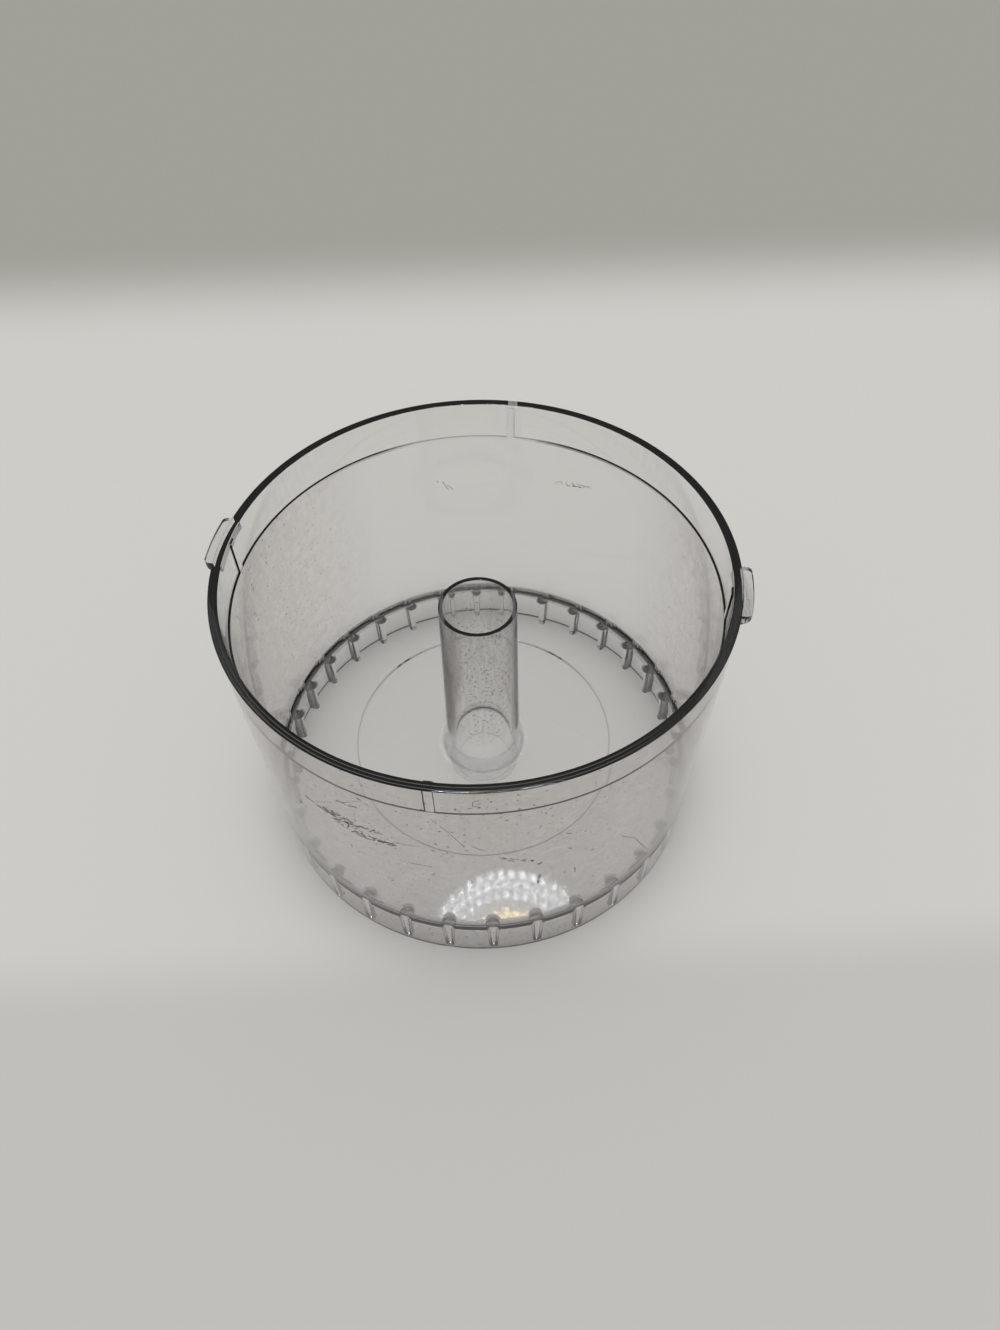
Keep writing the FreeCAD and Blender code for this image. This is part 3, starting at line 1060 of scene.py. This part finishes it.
@dataclass
class WallWear:
    """The scratches and specks on the wall, thin marks that lie on its two faces.

    Attributes:
        scratches: every mark.
        step: length of one dash, in millimetres.
        proud: how far the marks stand off the face, so that they show.
        seed: fixes the dashes.
        thin: width at a line's ends, as a share of its full width.
    """

    scratches: tuple[Scratch, ...] = (
        Scratch((-117.0, 58.3), (-112.0, 58.5), 0.3, 0.6, 2, 1.0, 0.25),
        Scratch((-115.2, 59.6), (-106.8, 58.7), 0.36, 0.62, 6, 3.4, 0.3),
        Scratch((-113.2, 56.4), (-105.6, 56.6), 0.34, 0.5, 4, 2.8, 0.35),
        Scratch((-107.0, 58.9), (-100.8, 59.8), 0.3, 0.45, 3, 1.8, 0.3),
        Scratch((-108.8, 54.6), (-98.8, 56.0), 0.34, 0.62, 3, 1.6, 0.3),
        Scratch((-102.4, 55.1), (-98.2, 55.9), 0.4, 0.6, 3, 1.5, 0.45),
        Scratch((-98.9, 56.8), (-93.1, 57.6), 0.14, 0.95),
        Scratch((-98.4, 48.4), (-91.0, 48.6), 0.13, 0.9),
        Scratch((-117.1, 60.1), (-103.5, 72.1), 0.1, 0.6),
        Scratch((-103.5, 72.1), (-101.3, 69.6), 0.1, 0.7),
        Scratch((-123.5, 52.9), (-121.4, 52.4), 0.4, 0.6, 2, 0.8, 0.3),
        Scratch((-120.7, 59.3), (-117.6, 58.7), 0.22, 0.7, 2, 1.0, 0.3),
        Scratch((-110.4, 67.0), (-105.4, 67.9), 0.16, 0.55, 3, 1.2, 0.3),
        Scratch((-89.7, 70.8), (-86.7, 66.0), 0.12, 0.8),
        Scratch((-86.7, 66.0), (-83.5, 59.0), 0.14, 0.9),
        Scratch((-82.4, 60.1), (-79.9, 57.6), 0.12, 0.8),
        Scratch((-70.2, 50.5), (-69.7, 50.4), 0.7, 1.0, 1, 0.0, 0.0),
        Scratch((-68.8, 48.0), (-67.8, 48.5), 0.45, 1.0, 1, 0.0, 0.1),
        Scratch((-68.0, 42.4), (-68.3, 40.7), 0.36, 1.0, 1, 0.0, 0.1),
        Scratch((-68.3, 39.5), (-68.5, 37.7), 0.3, 1.0, 1, 0.0, 0.1),
        Scratch((-63.0, 59.7), (-61.7, 58.6), 0.2, 0.9),
        Scratch((-62.1, 52.1), (-61.0, 50.9), 0.24, 0.9),
        Scratch((-59.9, 40.3), (-59.7, 37.9), 0.24, 0.9),
        Scratch((-49.6, 47.0), (-43.6, 38.4), 0.16, 0.8, 1, 0.0, 0.3),
        Scratch((-43.6, 38.4), (-36.0, 21.0), 0.14, 0.7, 1, 0.0, 0.4),
        Scratch((-77.0, 54.1), (-70.5, 50.5), 0.2, 0.4, 3, 2.0, 0.5),
        Scratch((-81.5, 79.0), (-80.2, 79.6), 0.14, 1.0),
        Scratch((-81.5, 79.0), (-81.6, 77.4), 0.12, 1.0),
        Scratch((-81.6, 77.4), (-80.0, 76.8), 0.14, 1.0),
        Scratch((-80.9, 78.2), (-79.9, 78.3), 0.14, 1.0),
        Scratch((111.0, 58.3), (106.6, 54.6), 0.14, 0.45, 3, 2.0, 0.5, True),
        Scratch((77.5, 59.5), (66.0, 61.6), 0.13, 0.45, 3, 1.2, 0.4, True),
        Scratch((74.0, 59.8), (69.0, 60.4), 0.2, 0.6, 2, 0.8, 0.3, True),
    )
    step: float = 0.55
    proud: float = 0.02
    seed: int = 7
    thin: float = 0.6

    def build(self, bowl: WorkBowl) -> bpy.types.Object:
        """Lays every scratch on the wall as short dashes.

        Args:
            bowl: the bowl whose wall carries them.

        Returns:
            The marks as one mesh.
        """
        chance = random.Random(self.seed)
        points: list[Vector] = []
        faces: list[list[int]] = []
        for scratch in self.scratches:
            for line in range(scratch.lines):
                share = (line + 0.5) / scratch.lines - 0.5
                for dash in self.dashes(scratch, share, bowl.rim_radius, chance):
                    first = len(points)
                    for azimuth, z in dash:
                        radius = bowl.inner(z) - self.proud if scratch.inside else bowl.outer(z) + self.proud
                        points.append(Vector((radius * math.cos(azimuth), radius * math.sin(azimuth), z)))
                    faces.append([first, first + 1, first + 3, first + 2])
        marks = mesh_object("wall_scratches", points, faces)
        marks.data.materials.append(ScratchedPlastic().make())
        return marks

    def dashes(self, scratch: Scratch, share: float, wall_radius: float,
               chance: random.Random) -> Iterator[list[Point]]:
        """Breaks one line of a scratch into dashes that stray a little and thin out at its ends.

        Args:
            scratch: the scratch.
            share: where the line lies in the scratch's band, from -0.5 to 0.5.
            wall_radius: the wall's radius, which turns angles into lengths.
            chance: where the random draws come from.

        Yields:
            Azimuth in radians and height in millimetres of a dash's four corners, two at its start and
            two at its end.
        """
        azimuth = math.radians(scratch.start[0])
        turn = math.radians(scratch.end[0] - scratch.start[0])
        climb = scratch.end[1] - scratch.start[1]
        length = math.hypot(turn * wall_radius, climb)
        rise, run = climb / length, turn * wall_radius / length
        cells = max(1, round(length / self.step))
        stray = 0.0
        for cell in range(cells):
            last, stray = stray, chance.uniform(-1, 1) * scratch.shake
            if chance.random() > scratch.cover:
                continue
            swell = math.sin(math.pi * (cell + 0.5) / cells) ** 0.5
            width = scratch.width * (self.thin + (1 - self.thin) * swell)
            dash = []
            for where, offset in ((cell, last), (cell + 1, stray)):
                part = where / cells
                middle = scratch.start[1] + climb * part + share * scratch.spread * swell + offset
                for side in (-width / 2, width / 2):
                    dash.append((azimuth + turn * part - side * rise / wall_radius, middle + side * run))
            yield dash


@dataclass(frozen=True)
class PaleTable:
    """Matt white melamine board, a plain pale table with no pattern, with painted shade on the near side and in a soft
    band far behind the bowl.

    Attributes:
        colour: the table's colour.
        near_colour: its colour in the soft shade on the near side.
        near_start: where that shade starts, in millimetres behind the bowl's middle.
        near_end: where it is at its full depth.
        far_shade_colour: painted shade of a soft band far behind the bowl.
        far_shade_start: where the band starts, in millimetres behind the bowl.
        far_shade_end: where it is at its full colour.
        band_turn: direction of the band's edge, in degrees from the X axis.
        half_size: half of the table's side, in metres.
    """

    colour: str = "#d8d7d5"
    near_colour: str = "#cbcac8"
    near_start: float = -48.0
    near_end: float = -75.0
    far_shade_colour: str = "#a9a9a4"
    far_shade_start: float = 215.0
    far_shade_end: float = 310.0
    band_turn: float = 11.0
    half_size: float = 4.0

    def make(self) -> bpy.types.Object:
        """Builds the table top and its material."""
        side = self.half_size / MM
        table = mesh_object("table_top", [(-side, -side, 0), (side, -side, 0), (side, side, 0), (-side, side, 0)],
                            [(0, 1, 2, 3)])
        material, tree, output = new_material("matt_melamine_table")
        place = add_node(tree, "ShaderNodeTexCoord").outputs["Object"]
        turned = add_node(tree, "ShaderNodeMapping", {
            "Vector": place, "Rotation": (0, 0, -math.radians(self.band_turn))}, vector_type="POINT")
        depth = add_node(tree, "ShaderNodeSeparateXYZ", {0: turned.outputs[0]})
        tone = linear(self.colour)
        # Painted shade: darker on the near side and in a soft band far behind the bowl.
        for start, end, colour in ((self.near_start, self.near_end, self.near_colour),
                                   (self.far_shade_start, self.far_shade_end, self.far_shade_colour)):
            band = add_node(tree, "ShaderNodeMapRange", {
                "Value": depth.outputs["Y"], "From Min": start * MM, "From Max": end * MM},
                interpolation_type="SMOOTHERSTEP")
            tone = add_node(tree, "ShaderNodeMix", {0: band.outputs[0], 6: tone, 7: linear(colour)},
                            data_type="RGBA").outputs[2]
        shader = add_node(tree, "ShaderNodeBsdfDiffuse", {"Color": tone})
        tree.links.new(shader.outputs[0], output.inputs["Surface"])
        table.data.materials.append(material)
        return table


@dataclass(frozen=True)
class BeadRing:
    """One ring of light-emitting beads in the round lamp.

    Attributes:
        radius: the ring's radius, in millimetres.
        beads: how many beads it has.
        bead_radius: radius of each bead, in millimetres.
        start: angle of the first bead, in degrees.
    """

    radius: float
    beads: int
    bead_radius: float
    start: float = 0.0


@dataclass(frozen=True)
class RoundLamp:
    """A round ceiling lamp with rings of beads, which the bowl's floor mirrors.

    It glows only in mirror images, so it puts no light on the object.

    Attributes:
        place: the lamp's middle, in millimetres.
        cool_rings: the outer rings of cool white beads.
        warm_rings: the inner rings of warm beads.
        plate_radii: inner and outer radius of the dimmer plate behind the cool beads.
        cool: colour of the cool beads.
        warm: colour of the warm beads.
        plate: colour of the plate.
        cool_glow: strength of the cool beads' mirror image.
        warm_glow: strength of the warm beads' mirror image.
        plate_glow: strength of the plate's mirror image.
        plate_steps: how finely the plate's edges are drawn.
        bead_sides: how many sides a bead has.
    """

    place: tuple[float, float, float] = (-77.0, 604.0, 1795.0)
    cool_rings: tuple[BeadRing, ...] = (BeadRing(195, 48, 8.0), BeadRing(173, 48, 7.0, 3.75),
                                         BeadRing(152, 42, 6.0))
    warm_rings: tuple[BeadRing, ...] = (BeadRing(112, 30, 8.0), BeadRing(97, 30, 6.5, 6.0))
    plate_radii: tuple[float, float] = (100.0, 196.0)
    cool: str = "#eaf5ff"
    warm: str = "#ffe2a0"
    plate: str = "#f4f8ff"
    cool_glow: float = 115.0
    warm_glow: float = 34.0
    plate_glow: float = 2.6
    plate_steps: int = 72
    bead_sides: int = 8

    def finish(self, name: str, colour: str, glow: float) -> bpy.types.Material:
        """Makes a glow that is seen only before light has been scattered.

        Args:
            name: the material's name.
            colour: the glow's colour.
            glow: the glow's strength.

        Returns:
            The material.
        """
        material, tree, output = new_material(name)
        material.cycles.emission_sampling = "NONE"
        path = add_node(tree, "ShaderNodeLightPath")
        first = add_node(tree, "ShaderNodeMath", {0: path.outputs["Diffuse Depth"], 1: 0.5}, operation="LESS_THAN")
        light = add_node(tree, "ShaderNodeEmission", {"Color": linear(colour), "Strength": glow})
        clear = add_node(tree, "ShaderNodeBsdfTransparent")
        mixed = add_node(tree, "ShaderNodeMixShader", {0: first.outputs[0], 1: clear.outputs[0], 2: light.outputs[0]})
        tree.links.new(mixed.outputs[0], output.inputs["Surface"])
        return material

    def make(self) -> bpy.types.Object:
        """Builds the plate and the beads, facing the bowl.

        Returns:
            The lamp.
        """
        middle = Vector(self.place)
        turn = middle.to_track_quat("Z", "Y").to_matrix()
        finishes = (("cool_lamp_beads", self.cool, self.cool_glow),
                    ("warm_lamp_beads", self.warm, self.warm_glow),
                    ("lamp_plate", self.plate, self.plate_glow))
        points: list[Vector] = []
        faces: list[list[int]] = []
        slots: list[int] = []

        def spot(radius: float, angle: float, lift: float) -> int:
            """Adds a point of the lamp's plane and gives its number."""
            flat = Vector((radius * math.cos(angle), radius * math.sin(angle), -lift))
            points.append(middle + turn @ flat)
            return len(points) - 1

        steps = self.plate_steps
        inner, outer = ([spot(radius, math.tau * k / steps, 0) for k in range(steps)]
                        for radius in self.plate_radii)
        for k in range(steps):
            ahead = (k + 1) % steps
            faces.append([inner[k], inner[ahead], outer[ahead], outer[k]])
            slots.append(len(finishes) - 1)
        # Each kind of bead lies a millimetre further in front of the plate.
        for slot, rings in enumerate((self.cool_rings, self.warm_rings)):
            for ring in rings:
                for i in range(ring.beads):
                    about = math.radians(ring.start + 360 * i / ring.beads)
                    centre = Vector((ring.radius * math.cos(about), ring.radius * math.sin(about)))
                    face = []
                    for k in range(self.bead_sides):
                        corner = math.tau * k / self.bead_sides
                        edge = centre + Vector((math.cos(corner), math.sin(corner))) * ring.bead_radius
                        face.append(spot(edge.length, math.atan2(edge.y, edge.x), 1 + slot))
                    faces.append(face)
                    slots.append(slot)
        lamp = mesh_object("round_lamp", points, faces)
        for name, colour, glow in finishes:
            lamp.data.materials.append(self.finish(name, colour, glow))
        lamp.data.polygons.foreach_set("material_index", slots)
        return lamp


@dataclass(frozen=True)
class Studio:
    """The pale table under one large soft dome of light, and a round lamp that the bowl's floor mirrors.

    Attributes:
        dome_colour: colour of the dome's light.
        dome_low: the dome's strength at the level of the table.
        dome_high: its strength overhead.
        dome_rise: sine of the elevations between which it grows.
        mirrored: share of the dome that gloss and clear plastic show, as in a room with a dark ceiling.
        seen_colour: the room as the camera sees it behind the table.
        table: the table that the bowl stands on.
        lamp: the round lamp overhead.
    """

    dome_colour: str = "#fdfcf9"
    dome_low: float = 0.12
    dome_high: float = 1.3
    dome_rise: tuple[float, float] = (0.2, 0.9)
    mirrored: float = 0.28
    seen_colour: str = "#c4c4bf"
    table: PaleTable = field(default_factory=PaleTable)
    lamp: RoundLamp = field(default_factory=RoundLamp)

    def dome(self) -> None:
        """Lights the scene softly from above, with a plain tone behind the table."""
        world = bpy.data.worlds.new("soft_dome")
        bpy.context.scene.world = world
        world.use_nodes = True
        tree = world.node_tree
        tree.nodes.clear()
        towards = add_node(tree, "ShaderNodeTexCoord").outputs["Object"]
        up = add_node(tree, "ShaderNodeSeparateXYZ", {0: towards})
        strength = add_node(tree, "ShaderNodeMapRange", {
            "Value": up.outputs["Z"], "From Min": self.dome_rise[0], "From Max": self.dome_rise[1],
            "To Min": self.dome_low, "To Max": self.dome_high}, interpolation_type="SMOOTHSTEP")
        path = add_node(tree, "ShaderNodeLightPath")
        clear = add_node(tree, "ShaderNodeMath", {
            0: path.outputs["Is Glossy Ray"], 1: path.outputs["Is Transmission Ray"]}, operation="MAXIMUM")
        share = add_node(tree, "ShaderNodeMapRange", {
            "Value": clear.outputs[0], "To Min": 1.0, "To Max": self.mirrored})
        power = add_node(tree, "ShaderNodeMath", {
            0: strength.outputs[0], 1: share.outputs[0]}, operation="MULTIPLY")
        light = add_node(tree, "ShaderNodeBackground",
                         {"Color": linear(self.dome_colour), "Strength": power.outputs[0]})
        seen = add_node(tree, "ShaderNodeBackground", {"Color": linear(self.seen_colour)})
        mixed = add_node(tree, "ShaderNodeMixShader",
                         {0: path.outputs["Is Camera Ray"], 1: light.outputs[0], 2: seen.outputs[0]})
        add_node(tree, "ShaderNodeOutputWorld", {"Surface": mixed.outputs[0]})

    def make(self) -> None:
        """Sets up table, dome and lamp, and marks what isn't part of the object."""
        self.dome()
        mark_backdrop(self.table.make(), self.lamp.make())


@dataclass(frozen=True)
class PhotoCamera:
    """The photograph's viewpoint.

    Attributes:
        place: the camera's place, in millimetres.
        bearing: direction of the view, in degrees from the Y axis, anticlockwise.
        tilt: how far the view looks down from level, in degrees.
        roll: turn about the line of sight, in degrees.
        lens: focal length for a sensor of 36 mm on the frame's long side.
        rise: shift of the frame along its long side, as a share of it.
        sensor: the frame's long side, in millimetres.
        near: how near the camera sees, in metres.
    """

    place: tuple[float, float, float] = (28.4, -146.0, 234.7)
    bearing: float = 9.09
    tilt: float = 53.7
    roll: float = -1.06
    lens: float = 25.19
    rise: float = 0.0214
    sensor: float = 36.0
    near: float = 0.01

    def make(self) -> None:
        """Adds the camera and makes it the scene's own."""
        data = bpy.data.cameras.new("photo_camera")
        data.lens = self.lens
        data.sensor_width = self.sensor
        data.shift_y = self.rise
        data.clip_start = self.near
        camera = bpy.data.objects.new("photo_camera", data)
        aim = Euler((math.radians(90 - self.tilt), 0, math.radians(self.bearing))).to_matrix()
        roll = Matrix.Rotation(math.radians(self.roll), 3, "Z")
        camera.matrix_world = Matrix.Translation(Vector(self.place) * MM) @ (aim @ roll).to_4x4()
        bpy.context.scene.collection.objects.link(camera)
        bpy.context.scene.camera = camera


def corners(box: Sequence[Vector]) -> list[list[float]]:
    """Gives a box's two corners as plain lists."""
    return [[round(float(value), 6) for value in corner] for corner in box]


def main() -> None:
    """Builds the bowl and its studio, and reports each piece."""
    logging.basicConfig(level=logging.INFO, format="%(name)s: %(message)s")
    PhotoCamera().make()
    Studio().make()
    work_bowl = WorkBowl()
    for piece in (work_bowl.build(), WallWear().build(work_bowl)):
        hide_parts("work_bowl")
        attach(piece, "root")
        LOG.info("%s: %d faces", piece.name, len(piece.data.polygons))
    bpy.context.scene.view_settings.view_transform = "Standard"
    {"cad": corners(CAD_BOX), "visual": corners(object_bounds())}


if __name__ == "__main__":
    main()
